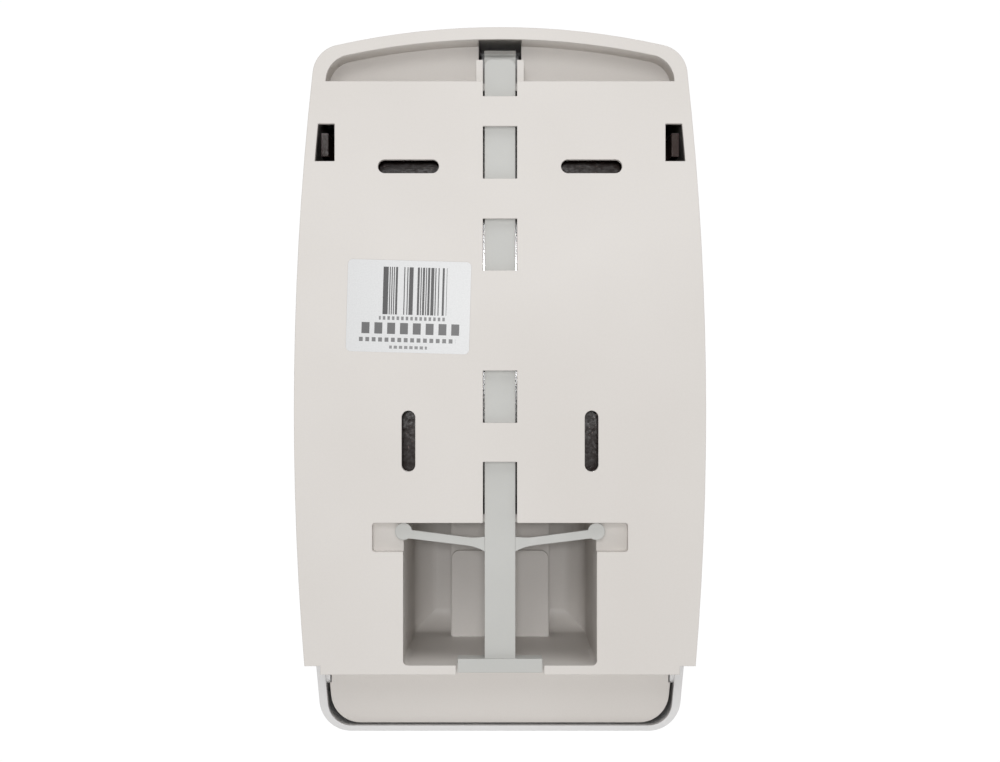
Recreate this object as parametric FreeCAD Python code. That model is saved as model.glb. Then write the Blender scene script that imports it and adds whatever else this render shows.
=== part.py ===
import FreeCAD, Part

import math
import os

# Wall mounted soap dispenser, in millimetres.
# The wall plane is Y = 0, the front faces -Y, +Z is up, and the origin is the centre of the four
# screw slots on the housing's back face.

Vector = FreeCAD.Vector
EAST = Vector(1, 0, 0)
BACK = Vector(0, 1, 0)
UP = Vector(0, 0, 1)

# Outline seen from the back: two long side arcs, a crown arc and rounded corners
half_width = 67.5
side_arc_r = 1015.0
widest_z = -35.5
crown_z = 90.6
crown_sag = 9.4419
crown_corner_r = 10.0
cover_base_z = -146.4
base_corner_r = 11.0
corner_split = 4.0

# How far joined forms reach into each other, and the slack when edges are picked by their place
overlap = 1.0
slack = 0.01

# Depth: a barrel surface makes the front, fullest at the push lever
front_y = -115.0
fullest_z = -60.0
front_profile_r = 600.0
front_cross_r = 250.0
front_edge_r = 8.5
barrel_margin = 20.0

# Rear housing
plate_t = 3.0
housing_wall = 3.2
housing_depth = 34.6
plate_base_z = -121.5
foot_notch_height = 2.8
foot_notch_width = 5.1
pocket_low_z = 72.9
pocket_depth = 13.0
pocket_side_rim = 4.5
pocket_top_rim = 3.9
pocket_wall = 2.5
pocket_corner_r = 8.7
corner_run_in = 3.5
rib_levels = (-63.0, -3.1, 33.0)
rib_end_x = 49.0
rib_t = 1.6
rib_depth = 3.5
skirt_t = 2.2
skirt_gap_side = 1.2
skirt_gap_base = 0.7
skirt_back_y = -37.0

# Screw slots: the upper pair lies flat, the lower pair stands
slot_half_pitch_x = 30.0
slot_half_pitch_z = 45.0
slot_length = 20.0
slot_width = 4.5

# Tank clip openings beside the upper slots
clip_window_inner_x = 54.2
clip_window_low_z = 46.7
clip_window_top_z = 59.0
clip_window_wall_gap = 0.25

# Release slider with its channel, windows and hook
strip_half = 5.05
strip_t = 2.2
channel_gap = 0.55
channel_skin = 1.8
channel_play = 0.3
rail_width = 2.0
rail_end_gap = 4.0
bridge_height = 7.0
bridge_drop = 3.0
window_half = 5.6
window_spans = ((41.0, 58.2), (10.9, 27.9), (-39.0, -21.9))
open_slot_top_z = -51.8
top_notch_z = 68.0
slider_top_z = 80.4
hook_half = 5.2
hook_top_z = 84.2
hook_under_z = 80.0
beak_tip_z = 76.0
beak_t = 2.6
hook_slot_half = 7.1
hook_slot_low_z = 79.2
cheek_foot = 0.8
hook_relief_low_z = 81.9
hook_relief_z = 88.3
hook_relief_back_y = -1.5
hook_chamfer = 3.0
hook_sink = 0.6
hook_root_drop = 6.0
hook_shoulder_depth = 2.4
hook_shoulder_drop = 1.5
hook_neck_depth = 4.0
hook_crown_depth = 3.2
hook_back_sink = 0.2
hook_back_drop = 1.9
hook_groove_depth = 1.0
hook_groove_drop = 2.6
hook_groove_low_drop = 0.6
hook_foot_drop = 1.4
beak_slope = 1.0
foot_half = 13.9
foot_gap = 0.55
foot_top_z = -116.4
foot_low_z = -120.9
foot_ledge_depth = 9.0
foot_ledge_t = 1.9
foot_back_y = -0.6

# Flexing arms that pull the slider down again
arm_tip_r = 2.8
arm_tip_x = 31.7
arm_t = 2.5
arm_rest_gap = 0.15
arm_root_z = -81.3
arm_elbow_x = 11.3
arm_elbow_z = -76.8
arm_elbow_rise = 0.3
arm_elbow_back = 2.0
arm_elbow_under = 2.4
arm_elbow_drop = 0.4
arm_tip_rise = 0.3
arm_tip_lift = 0.2
arm_tip_back = 2.6
arm_tip_under = 1.0

# Pump bay: the hollow behind the pump, open to the wall side
bay_half = 31.75
bay_top_z = -71.8
bay_low_z = -118.5
bay_wall = 2.5
bay_depth = 88.0
bay_corner_r = 1.6
bay_round_r = 8.0
column_half = 18.0
column_back_y = -72.0
pad_proud = 2.5
pad_half = 17.6
pad_top_z = -87.1
pad_corner_r = 2.9
ear_pocket_x = 41.9
ear_pocket_low_z = -81.3
ear_pocket_r = 1.0
ear_pocket_skin = 1.6
rest_back_gap = 2.0
rest_front_gap = 6.0

# Front cover and its hinge
parting_gap = 0.4
cover_side_wall = 2.8
cover_top_wall = 2.5
cover_base_wall = 1.8
cover_front_wall = 2.5
hinge_y = -40.0
hinge_z = -127.0
hinge_pin_r = 1.5
hinge_bore_gap = 0.05
hinge_bore_end_gap = 0.2
hinge_pin_chamfer = 0.3
hinge_ear_t = 4.0
hinge_ear_x = 58.5
hinge_boss_r = 3.6
hinge_boss_face_x = 58.9
hinge_pin_end_x = 61.6
hinge_ear_half = 3.3
hinge_boss_gap = 0.6
lip_half = 6.5
lip_t = 2.2
lip_gap = 0.8
latch_web_gap = 2.6
latch_sill_drop = 1.6
nozzle_hole_r = 10.0
nozzle_hole_stretch = 5.0
nozzle_hole_reach = 4.0

# Level window
window_half_width = 12.0
window_low_z = -6.0
window_high_z = 54.0
lens_gap = 0.15
lens_recess = 0.4
lens_flange = 3.0
lens_flange_t = 1.2
lens_flange_gap = 0.05

# Push lever
lever_half = 42.0
lever_top_z = -59.0
lever_low_z = -137.0
lever_corner_r = 8.0
lever_gap = 0.8
lever_low_gap = 1.5
lever_wall = 2.5
lever_rim = 2.0
lever_back_y = -103.0
lever_room_back = 4.0
lever_arm_reach = 4.0
pivot_y = -101.0
pivot_z = -66.0
pivot_rod_r = 1.5
pivot_rod_gap = 0.05
pivot_boss_r = 4.0
lever_ear_t = 4.0
lug_gap = 1.6
lug_t = 3.4
boss_half = 7.0
boss_r = 3.0
boss_play = 0.25

# Tank
tank_side_gap = 3.8
tank_back_y = -12.0
tank_front_y = -86.0
tank_top_z = 61.0
tank_low_z = -66.0
tank_wall = 2.0
tank_upright_r = 10.0
tank_edge_r = 4.0
mouth_half = 28.0
mouth_back_y = -54.0
mouth_front_y = -76.0
mouth_r = 6.0
collar_t = 1.8
collar_height = 2.6
lid_gap = 0.4
lid_wall = 1.6
lid_top_t = 2.0
lid_seal_t = 0.8
grip_height = 3.0
grip_t = 2.4
grip_half = 12.0
clip_inner_x = 56.3
clip_t = 2.4
clip_low_z = 48.4
clip_high_z = 56.0
clip_end_y = -1.2
clip_root_y = -28.0
clip_root_length = 6.0

# Pump, a plunger along Y under the tank
pump_y = -82.5
pump_z = -104.0
pump_back_y = -77.5
pump_front_y = -97.7
pump_outer_r = 11.5
pump_bore_r = 9.0
pump_end_wall = 2.0
port_r = 2.0
cap_outer_r = 13.6
cap_back_y = -90.5
cap_front_t = 2.4
cap_thread_gap = 0.1
cap_seal_t = 0.4
flute_count = 16
flute_r = 1.1
flute_end_gap = 1.5
flute_drop = 3.5
piston_head_t = 4.0
piston_rim_y = -93.5
piston_gap = 0.3
stem_r = 6.5
stem_hole_gap = 0.1
stem_front_y = -108.5
stem_front_wall = 2.3
stem_edge_r = 1.5
stem_bore_r = 4.8
seal_width = 2.0
seal_depth = 1.2
seal_gap = 0.05
coil_r = 3.9
coil_wire_r = 0.45
coil_turns = 9
coil_end_gap = 0.05

# Inlet above the pump, and outlet below it
neck_outer_r = 6.0
neck_bore_r = 4.0
neck_low_z = -75.0
spigot_gap = 0.1
spigot_top_z = -70.0
spigot_bore_r = 1.7
gasket_t = 1.2
flange_t = 2.0
inlet_tube_r = 4.8
collar_outer_r = 7.7
collar_thread_gap = 0.05
collar_top_z = -70.4
collar_lip_t = 1.9
ball_r = 2.3
ball_room_r = 2.6
ball_room_low_z = -90.0
ball_room_top_z = -83.0
ball_play = 0.05
outlet_tube_r = 5.0
outlet_tube_low_z = -124.0
nozzle_sleeve_gap = 0.05
nozzle_sleeve_t = 1.6
nozzle_sleeve_top_z = -117.0
nozzle_shoulder_z = -131.0
nozzle_tip_z = -145.6
nozzle_tip_r = 4.0
nozzle_bore_r = 2.6
valve_flange_t = 1.2
valve_bill_r = 2.5
valve_length = 7.0
valve_slit_half = 0.5
valve_side_room = 0.3
valve_end_room = 0.6

# Label in a shallow recess of the back face
label_x = 29.95
label_z = -0.95
label_width = 40.4
label_height = 30.2
label_t = 0.15
label_r = 1.6
label_tilt_deg = 1.6

# Values that follow from the ones above
crown_arc_r = (half_width**2 + crown_sag**2) / (2 * crown_sag)
cover_back_y = -housing_depth - parting_gap
strip_back_y = -channel_skin - channel_play
strip_front_y = strip_back_y - strip_t
channel_front_y = strip_front_y - channel_play
pocket_floor_y = -pocket_depth
lever_rest_tip_y = stem_front_y - boss_play
far_y = front_y - 40.0


def box(x0, x1, y0, y1, z0, z1):
    """A box between two opposite corners."""
    low = Vector(min(x0, x1), min(y0, y1), min(z0, z1))
    return Part.makeBox(abs(x1 - x0), abs(y1 - y0), abs(z1 - z0), low)


def rod_x(r, x0, x1, y, z):
    return Part.makeCylinder(r, abs(x1 - x0), Vector(min(x0, x1), y, z), EAST)


def rod_y(r, y0, y1, x, z):
    return Part.makeCylinder(r, abs(y1 - y0), Vector(x, min(y0, y1), z), BACK)


def rod_z(r, z0, z1, x, y):
    return Part.makeCylinder(r, abs(z1 - z0), Vector(x, y, min(z0, z1)), UP)


def mirrored(shape):
    """The same shape on the other side of the middle plane."""
    return shape.mirror(Vector(0, 0, 0), EAST)


def both_sides(shape):
    return shape.fuse(mirrored(shape))


def edges_along(shape, direction, wanted):
    """Straight edges of a shape that run along a direction and whose middle is wanted."""
    found = []
    for edge in shape.Edges:
        if len(edge.Vertexes) != 2:
            continue
        run = edge.Vertexes[1].Point - edge.Vertexes[0].Point
        if run.Length < 1e-6 or abs(run.normalize() * direction) < 0.9999:
            continue
        if wanted(edge.CenterOfMass):
            found.append(edge)
    return found


def outline_block(side_inset, top_inset, low_z, top_r, low_r, y0, y1):
    """A block along Y whose section is the dispenser's outline, drawn in by the insets."""
    back, front = max(y0, y1), min(y0, y1)
    side_r = side_arc_r - side_inset
    offset = side_arc_r - half_width
    block = rod_y(side_r, back, front, -offset, widest_z)
    block = block.common(rod_y(side_r, back, front, offset, widest_z))
    crown_centre_z = crown_z - crown_arc_r
    block = block.common(rod_y(crown_arc_r - top_inset, back, front, 0, crown_centre_z))
    block = block.common(box(-half_width, half_width, back, front, low_z, crown_z))
    block = block.removeSplitter()
    middle = low_z + corner_split
    if top_r > 0:
        block = block.makeFillet(top_r, edges_along(block, BACK, lambda p: p.z > middle))
    if low_r > 0:
        block = block.makeFillet(low_r, edges_along(block, BACK, lambda p: p.z < middle))
    return block


def rounded_prism(x_half, z0, z1, r, y0, y1, x_mid=0.0):
    """A prism along Y with a rounded rectangle as its section."""
    block = box(x_mid - x_half, x_mid + x_half, y0, y1, z0, z1)
    return block.makeFillet(r, edges_along(block, BACK, lambda p: True))


def front_barrel(inset):
    """The barrel whose bulging side makes the front surface."""
    axis_y = front_y + front_profile_r
    top_r = front_profile_r - inset
    cross_r = front_cross_r - inset
    reach = half_width + barrel_margin
    sag = cross_r - math.sqrt(cross_r**2 - reach**2)
    left = Vector(-reach, axis_y - top_r + sag, fullest_z)
    crest = Vector(0, axis_y - top_r, fullest_z)
    right = Vector(reach, axis_y - top_r + sag, fullest_z)
    profile = [
        Part.Arc(left, crest, right).toShape(),
        Part.makeLine(right, Vector(reach, axis_y, fullest_z)),
        Part.makeLine(Vector(reach, axis_y, fullest_z), Vector(-reach, axis_y, fullest_z)),
        Part.makeLine(Vector(-reach, axis_y, fullest_z), left),
    ]
    face = Part.Face(Part.Wire(profile))
    return face.revolve(Vector(0, axis_y, fullest_z), EAST, 360)


def cover_form(side, top, base, front):
    """The cover's outer form, or the space inside it when the insets are its walls."""
    low_z = cover_base_z + base
    top_r, low_r = crown_corner_r - side, base_corner_r - side
    form = outline_block(side, top, low_z, top_r, low_r, cover_back_y, far_y)
    form = form.common(front_barrel(front))
    rim = [e for e in form.Edges if e.BoundBox.YMax < cover_back_y - overlap and not is_along_y(e)]
    return form.makeFillet(front_edge_r - front, rim)


def is_along_y(edge):
    """True for an edge that runs from back to front."""
    size = edge.BoundBox
    return size.YLength > 2 * max(size.XLength, size.ZLength)


def clip_window(y0, y1):
    """The opening in the plate for a tank clip; its outer side follows the side wall."""
    reach = box(clip_window_inner_x, half_width, y0, y1, clip_window_low_z, clip_window_top_z)
    inset = housing_wall + clip_window_wall_gap
    return reach.common(outline_block(inset, pocket_top_rim, plate_base_z, 0, 0, y0, y1))


def screw_slot(x, z, along):
    """One screw slot through the plate."""
    straight = (slot_length - slot_width) / 2
    r = slot_width / 2
    ends = [Vector(x, 0, z) + along * s for s in (-straight, straight)]
    slot = rod_y(r, 0, -plate_t, ends[0].x, ends[0].z)
    slot = slot.fuse(rod_y(r, 0, -plate_t, ends[1].x, ends[1].z))
    across = UP if along.x else EAST
    low = ends[0] - across * r
    high = ends[1] + across * r
    return slot.fuse(box(low.x, high.x, 0, -plate_t, low.z, high.z))


def screw_slots():
    """A lying pair above and a standing pair below."""
    slots = []
    for x in (-slot_half_pitch_x, slot_half_pitch_x):
        slots.append(screw_slot(x, slot_half_pitch_z, EAST))
        slots.append(screw_slot(x, -slot_half_pitch_z, UP))
    return slots


def label_block(depth):
    """The label's rounded rectangle, a little tilted."""
    left, right = label_x - label_width / 2, label_x + label_width / 2
    low, high = label_z - label_height / 2, label_z + label_height / 2
    block = box(left, right, 0, -depth, low, high)
    block = block.makeFillet(label_r, edges_along(block, BACK, lambda p: True))
    block.rotate(Vector(label_x, 0, label_z), BACK, -label_tilt_deg)
    return block


def bay_outside():
    """The outer walls of the pump bay, with the room for the pump cut out of the front."""
    front = -bay_depth - bay_wall
    half = bay_half + bay_wall
    shell = box(-half, half, -plate_t, front, plate_base_z, bay_top_z + bay_wall)
    notch_half = column_half - bay_wall
    notch_back = column_back_y - bay_wall
    notch = box(-notch_half, notch_half, notch_back, front, plate_base_z, bay_top_z + bay_wall)
    return shell.cut(notch)


def bay_hollow():
    """The space of the pump bay: a wide mouth, two deep wells and a column between them."""
    mouth = box(-bay_half, bay_half, 0, column_back_y, bay_low_z, bay_top_z)
    low_corners = edges_along(mouth, BACK, lambda p: p.z < pump_z)
    mouth = mouth.makeFillet(bay_corner_r, low_corners)
    well = box(column_half, bay_half, column_back_y / 2, -bay_depth, bay_low_z, bay_top_z)
    outer = edges_along(well, UP, lambda p: p.x > column_half + overlap and p.y < column_back_y)
    lower = edges_along(well, EAST, lambda p: p.z < pump_z and p.y < column_back_y)
    well = well.makeFillet(bay_round_r, outer + lower)
    hollow = mouth.fuse(both_sides(well))
    pad = box(-pad_half, pad_half, column_back_y, column_back_y + pad_proud, bay_low_z, pad_top_z)
    pad = pad.makeFillet(pad_corner_r, edges_along(pad, BACK, lambda p: p.z > pump_z))
    return hollow.cut(pad)


def ear_pockets(grown):
    """The two shallow pockets beside the bay that hold the arm tips."""
    depth = -channel_front_y + grown
    low, high = ear_pocket_low_z - grown, bay_top_z + grown
    pocket = box(bay_half - overlap, ear_pocket_x + grown, 0, -depth, low, high)
    corners = edges_along(pocket, BACK, lambda p: p.x > bay_half)
    return both_sides(pocket.makeFillet(ear_pocket_r + grown, corners))


def slider_channel():
    """The slider's way through the housing, its windows and its open ends."""
    half = strip_half + channel_gap
    low = bay_top_z - overlap
    cuts = [box(-half, half, -channel_skin, channel_front_y, low, pocket_low_z)]
    for window_low, window_top in window_spans:
        cuts.append(box(-window_half, window_half, 0, -plate_t, window_low, window_top))
    cuts.append(box(-half, half, 0, channel_front_y, low, open_slot_top_z))
    cuts.append(box(-half, half, 0, channel_front_y, top_notch_z, pocket_low_z + overlap))
    wall_front = pocket_floor_y - pocket_wall
    slot = box(-hook_slot_half, hook_slot_half, pocket_floor_y, wall_front, hook_slot_low_z, hook_relief_z)
    relief_low, relief_back = hook_relief_low_z, hook_relief_back_y
    relief = box(-hook_slot_half, hook_slot_half, relief_back, -housing_depth, relief_low, hook_relief_z)
    notch_half = foot_half + foot_gap
    notch = box(-notch_half, notch_half, 0, channel_front_y, bay_low_z + overlap, plate_base_z)
    cuts += [slot, relief, notch]
    return cuts


def slider_guides():
    """Rails beside the slider and bridges that keep it against the plate."""
    half = strip_half + channel_gap
    outer = half + rail_width
    low, high = open_slot_top_z + rail_end_gap, pocket_low_z - pocket_wall
    rail = box(half, outer, -plate_t, channel_front_y, low, high)
    guides = both_sides(rail)
    bridge_front = channel_front_y - channel_skin
    for window_low, _ in window_spans:
        top = window_low - bridge_drop
        guides = guides.fuse(box(-outer, outer, channel_front_y, bridge_front, top - bridge_height, top))
    return guides


def hook_cheeks():
    """Two cheeks in the top pocket that guide the head of the slider."""
    inner, outer = strip_half + channel_gap, hook_slot_half + cheek_foot
    cheek = box(inner, outer, -plate_t, pocket_floor_y - overlap, pocket_low_z, slider_top_z)
    return both_sides(cheek)


def hinge_ears():
    """Ears of the skirt that hold the cover's hinge pins."""
    ear = box(
        hinge_ear_x - hinge_ear_t,
        hinge_ear_x,
        skirt_back_y,
        hinge_y - hinge_ear_half,
        hinge_z - hinge_ear_half,
        bay_low_z,
    )
    return both_sides(ear)


def hinge_room():
    """The bores of the ears, and the room outside them for the cover's hinge bosses."""
    bore = rod_x(hinge_pin_r, hinge_ear_x - hinge_ear_t, hinge_ear_x, hinge_y, hinge_z)
    room = rod_x(hinge_boss_r + hinge_boss_gap, hinge_ear_x, half_width, hinge_y, hinge_z)
    return both_sides(bore.fuse(room))


def tank_rests():
    """Ribs on the bay's roof that carry the tank."""
    inner = bay_half - bay_round_r
    back, front = tank_back_y - tank_edge_r - rest_back_gap, -bay_depth + rest_front_gap
    rib = box(inner, inner + pocket_wall, back, front, bay_top_z + bay_wall / 2, tank_low_z)
    return both_sides(rib)


def plate_ribs():
    """Stiffening ribs on the front of the plate, beside the screw slots."""
    ribs = []
    inner = strip_half + channel_gap
    for z in rib_levels:
        rib = box(inner, rib_end_x, -plate_t / 2, -plate_t - rib_depth, z, z + rib_t)
        ribs.append(both_sides(rib))
    return ribs


def rear_housing():
    """Back plate, side walls, top pocket, slider channel, pump bay and lower skirt in one moulding."""
    housing = outline_block(0, 0, plate_base_z, crown_corner_r, 0, 0, -housing_depth)
    wall, rim, corner_r = housing_wall, pocket_top_rim, pocket_corner_r
    inside = outline_block(wall, wall, bay_low_z, crown_corner_r - wall, 0, -plate_t, -housing_depth)
    pocket = outline_block(pocket_side_rim, rim, pocket_low_z, corner_r, 0, 0, pocket_floor_y)
    pocket_front_y = pocket_floor_y - pocket_wall
    pocket_back = box(-half_width, half_width, 0, pocket_front_y, pocket_low_z - pocket_wall, crown_z)
    housing = housing.cut(inside.cut(pocket_back)).cut(pocket)

    ear_x, skirt_front_y = hinge_ear_x, skirt_back_y - skirt_t
    floor = box(-ear_x, ear_x, -housing_depth + overlap, skirt_front_y, plate_base_z, bay_low_z)
    inset = cover_side_wall + skirt_gap_side
    low_z = cover_base_z + cover_base_wall + skirt_gap_base
    low_r = base_corner_r - skirt_gap_base
    skirt = outline_block(inset, rim, low_z, 0, low_r, skirt_back_y, skirt_front_y)
    skirt = skirt.common(box(-half_width, half_width, 0, far_y, cover_base_z, bay_low_z))
    before_plate = box(-half_width, half_width, -plate_t, far_y, cover_base_z, 0)
    ear_walls = ear_pockets(ear_pocket_skin).common(before_plate)
    adds = [floor, skirt, bay_outside(), hinge_ears(), tank_rests(), slider_guides(), hook_cheeks()]
    adds += [ear_walls] + plate_ribs()
    for piece in adds:
        housing = housing.fuse(piece)

    inner, top = half_width - corner_run_in - foot_notch_width, plate_base_z + foot_notch_height
    corner = box(inner, half_width, 0, -housing_depth, plate_base_z, top)
    cuts = [bay_hollow(), ear_pockets(0), both_sides(clip_window(0, -plate_t)), both_sides(corner)]
    cuts += [hinge_room(), label_block(label_t)] + slider_channel() + screw_slots()
    for piece in cuts:
        housing = housing.cut(piece)
    return housing.removeSplitter()


def hinge_pin():
    """A steel pin from the ear into the cover's blind bore."""
    pin = rod_x(hinge_pin_r, hinge_ear_x - hinge_ear_t, hinge_pin_end_x, hinge_y, hinge_z)
    ends = [e for e in pin.Edges if len(e.Vertexes) == 1 and e.BoundBox.XLength < 1e-3]
    return pin.makeChamfer(hinge_pin_chamfer, ends)


def lever_outline(grown, low_grown, y0, y1):
    """The prism that parts the push lever from the cover."""
    low = lever_low_z - low_grown
    half, top, r = lever_half + grown, lever_top_z + grown, lever_corner_r + grown
    return rounded_prism(half, low, top, r, y0, y1)


def lens_outline(grown, y0, y1):
    half = window_half_width + grown
    low, high = window_low_z - grown, window_high_z + grown
    return rounded_prism(half, low, high, half - slack, y0, y1)


def cover_latch():
    """The upward lip behind the slider's beak, on a bracket under the cover's roof."""
    beak_back_y = cover_back_y - lip_t / 2 - lip_gap
    lip_front_y = beak_back_y + lip_gap
    lip_back_y = lip_front_y + lip_t
    web_back_y = beak_back_y - beak_t - latch_web_gap
    web_front_y = web_back_y - lip_t
    sill_top = beak_tip_z - latch_sill_drop
    sill_low = sill_top - lip_t
    lip_top = hook_under_z - lip_gap
    web = box(-lip_half, lip_half, web_back_y, web_front_y, sill_low, crown_z - cover_top_wall / 2)
    sill = box(-lip_half, lip_half, lip_back_y, web_front_y, sill_low, sill_top)
    lip = box(-lip_half, lip_half, lip_back_y, lip_front_y, sill_low, lip_top)
    return web.fuse(sill).fuse(lip)


def front_cover(outside, inside, inside_wall):
    """The shell that covers the tank and the pump, hinged at its lower rear corners."""
    cover = outside.cut(inside)
    boss = rod_x(hinge_boss_r, hinge_boss_face_x, half_width, hinge_y, hinge_z)
    side_x = half_width - lever_gap
    inner, outer = lug_inner_x(), lug_inner_x() + lug_t
    lug = rod_x(pivot_boss_r, inner, outer, pivot_y, pivot_z)
    web = box(inner, outer, pivot_y, front_y, pivot_z - pivot_boss_r, pivot_z + pivot_boss_r)
    extra = both_sides(boss.fuse(lug).fuse(web)).fuse(cover_latch())
    cover = cover.fuse(extra.common(inside_wall))
    latch_tail = cover_latch().cut(box(-side_x, side_x, cover_back_y, far_y, cover_base_z, crown_z))
    cover = cover.fuse(latch_tail)
    bore_r, bore_end = hinge_pin_r + hinge_bore_gap, hinge_pin_end_x + hinge_bore_end_gap
    bore = rod_x(bore_r, hinge_boss_face_x, bore_end, hinge_y, hinge_z)
    rod_hole = rod_x(pivot_rod_r, -outer, outer, pivot_y, pivot_z)
    r, low, high = nozzle_hole_r, cover_base_z, cover_base_z + nozzle_hole_reach
    front, back = pump_y - nozzle_hole_stretch, pump_y + nozzle_hole_stretch
    hole = rod_z(r, low, high, 0, front).fuse(rod_z(r, low, high, 0, back))
    hole = hole.fuse(box(-r, r, front, back, low, high))
    cuts = [both_sides(bore), rod_hole, hole]
    cuts.append(lens_outline(0, tank_front_y, far_y))
    lever_hole = lever_outline(lever_gap, lever_low_gap, lever_back_y + lever_room_back, far_y)
    cuts.append(lever_hole.cut(lug_room()))
    for piece in cuts:
        cover = cover.cut(piece)
    return cover.removeSplitter()


def lug_inner_x():
    """Where the cover's lugs start, outside the lever's sides."""
    return lever_half + lug_gap


def lug_room():
    """Everything outside the lever's sides, where the lugs stay whole."""
    return both_sides(box(lug_inner_x(), half_width, 0, far_y, cover_base_z, crown_z))


def level_window():
    """A smoked lens, let into the cover and held by a flange behind its wall."""
    recessed = cover_form(lens_recess, lens_recess, lens_recess, lens_recess)
    wall_back = cover_front_wall + lens_flange_gap
    behind = cover_form(wall_back, wall_back, wall_back, wall_back)
    inner = wall_back + lens_flange_t
    core = cover_form(inner, inner, inner, inner)
    plug = recessed.common(lens_outline(-lens_gap, tank_front_y, far_y))
    flange = behind.common(lens_outline(lens_flange, tank_front_y, far_y))
    return plug.fuse(flange).cut(core).removeSplitter()


def push_lever(outside, inside_wall):
    """The paddle with its rim, pivot ears and the boss that presses the plunger."""
    form = outside.common(lever_outline(0, 0, lever_back_y, far_y))
    core = cover_form(lever_wall, lever_wall, lever_wall, lever_wall)
    room = rounded_prism(
        lever_half - lever_rim,
        lever_low_z + lever_rim,
        lever_top_z - lever_rim,
        lever_corner_r - lever_rim,
        lever_back_y + overlap,
        far_y,
    )
    lever = form.cut(core.common(room))
    ear = rod_x(pivot_boss_r, lever_half - lever_ear_t, lever_half, pivot_y, pivot_z)
    arm_front, low, high = lever_back_y - lever_arm_reach, pivot_z - pivot_boss_r, pivot_z + pivot_boss_r
    arm = box(lever_half - lever_ear_t, lever_half, pivot_y, arm_front, low, high)
    lever = lever.fuse(both_sides(ear.fuse(arm)))
    tip_y = lever_rest_tip_y - boss_r
    nose = rod_x(boss_r, -boss_half, boss_half, tip_y, pump_z)
    block = box(-boss_half, boss_half, tip_y, front_y, pump_z - boss_r, pump_z + boss_r)
    rib = box(-boss_r / 2, boss_r / 2, tip_y, front_y, pump_z - 2 * boss_r, pivot_z - 3 * pivot_boss_r)
    lever = lever.fuse(nose.fuse(block).fuse(rib).common(inside_wall))
    bore = rod_x(pivot_rod_r + pivot_rod_gap, -lever_half, lever_half, pivot_y, pivot_z)
    return lever.cut(bore).removeSplitter()


def lever_rod():
    """The steel rod on which the lever turns."""
    end = lug_inner_x() + lug_t
    return rod_x(pivot_rod_r, -end, end, pivot_y, pivot_z)


def tank_block(inset, low_z, top_z, upright_r, edge_r):
    """The tank's form, whose sides follow the housing's."""
    side_inset = housing_wall + tank_side_gap + inset
    block = outline_block(side_inset, 0, low_z, 0, 0, tank_back_y - inset, tank_front_y + inset)
    block = block.common(box(-half_width, half_width, 0, far_y, low_z, top_z))
    half_height = (top_z - low_z) / 2
    uprights = [e for e in block.Edges if e.BoundBox.ZLength > half_height and e.BoundBox.YLength < overlap]
    block = block.makeFillet(upright_r, uprights)
    flat = [e for e in block.Edges if e.BoundBox.ZLength < overlap / 2]
    return block.makeFillet(edge_r, flat)


def mouth_prism(grown, z0, z1):
    """The filler mouth's rounded rectangle, along Z."""
    half = mouth_half + grown
    block = box(-half, half, mouth_back_y + grown, mouth_front_y - grown, z0, z1)
    return block.makeFillet(mouth_r + grown, edges_along(block, UP, lambda p: True))


def soap_tank():
    """The smoked tank with its filler collar, outlet neck and side clips."""
    tank = tank_block(0, tank_low_z, tank_top_z, tank_upright_r, tank_edge_r)
    inner_r = tank_upright_r - tank_wall
    inside = tank_block(
        tank_wall, tank_low_z + tank_wall, tank_top_z - tank_wall, inner_r, tank_edge_r - tank_wall
    )
    tank = tank.cut(inside)
    tank = tank.fuse(mouth_prism(collar_t, tank_top_z - tank_wall, tank_top_z + collar_height))
    tank = tank.fuse(rod_z(neck_outer_r, neck_low_z, tank_low_z + tank_wall / 2, 0, pump_y))
    clip = box(clip_inner_x, clip_inner_x + clip_t, clip_end_y, clip_root_y, clip_low_z, clip_high_z)
    root_x = clip_inner_x - clip_t
    root_back = clip_root_y + clip_root_length
    root = box(root_x, clip_inner_x + clip_t, root_back, clip_root_y, clip_low_z, clip_high_z)
    clip = clip.fuse(root).cut(inside)
    tank = tank.fuse(both_sides(clip))
    tank = tank.cut(mouth_prism(0, tank_top_z - 2 * tank_wall, tank_top_z + collar_height))
    tank = tank.cut(rod_z(neck_bore_r, neck_low_z, tank_low_z + 2 * tank_wall, 0, pump_y))
    return tank.removeSplitter()


def lid_seal():
    """A rubber ring between the lid and the filler collar."""
    low = tank_top_z + collar_height
    ring = mouth_prism(collar_t, low, low + lid_seal_t)
    return ring.cut(mouth_prism(0, low, low + lid_seal_t))


def tank_lid():
    """The cap that lifts off the filler collar, with a finger grip."""
    under = tank_top_z + collar_height + lid_seal_t
    skirt_low = tank_top_z + lid_gap
    outer = collar_t + lid_gap + lid_wall
    lid = mouth_prism(outer, skirt_low, under + lid_top_t)
    lid = lid.cut(mouth_prism(collar_t + lid_gap, skirt_low, under))
    rim = [e for e in lid.Edges if e.BoundBox.ZMin > under + lid_top_t - slack]
    lid = lid.makeFillet(lid_top_t / 2, rim)
    middle_y = (mouth_back_y + mouth_front_y) / 2
    top = under + lid_top_t
    back, front = middle_y + grip_t / 2, middle_y - grip_t / 2
    grip = box(-grip_half, grip_half, back, front, top - overlap, top + grip_height)
    ends = edges_along(grip, BACK, lambda p: p.z > top)
    return lid.fuse(grip.makeFillet(grip_height / 2, ends)).removeSplitter()


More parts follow.
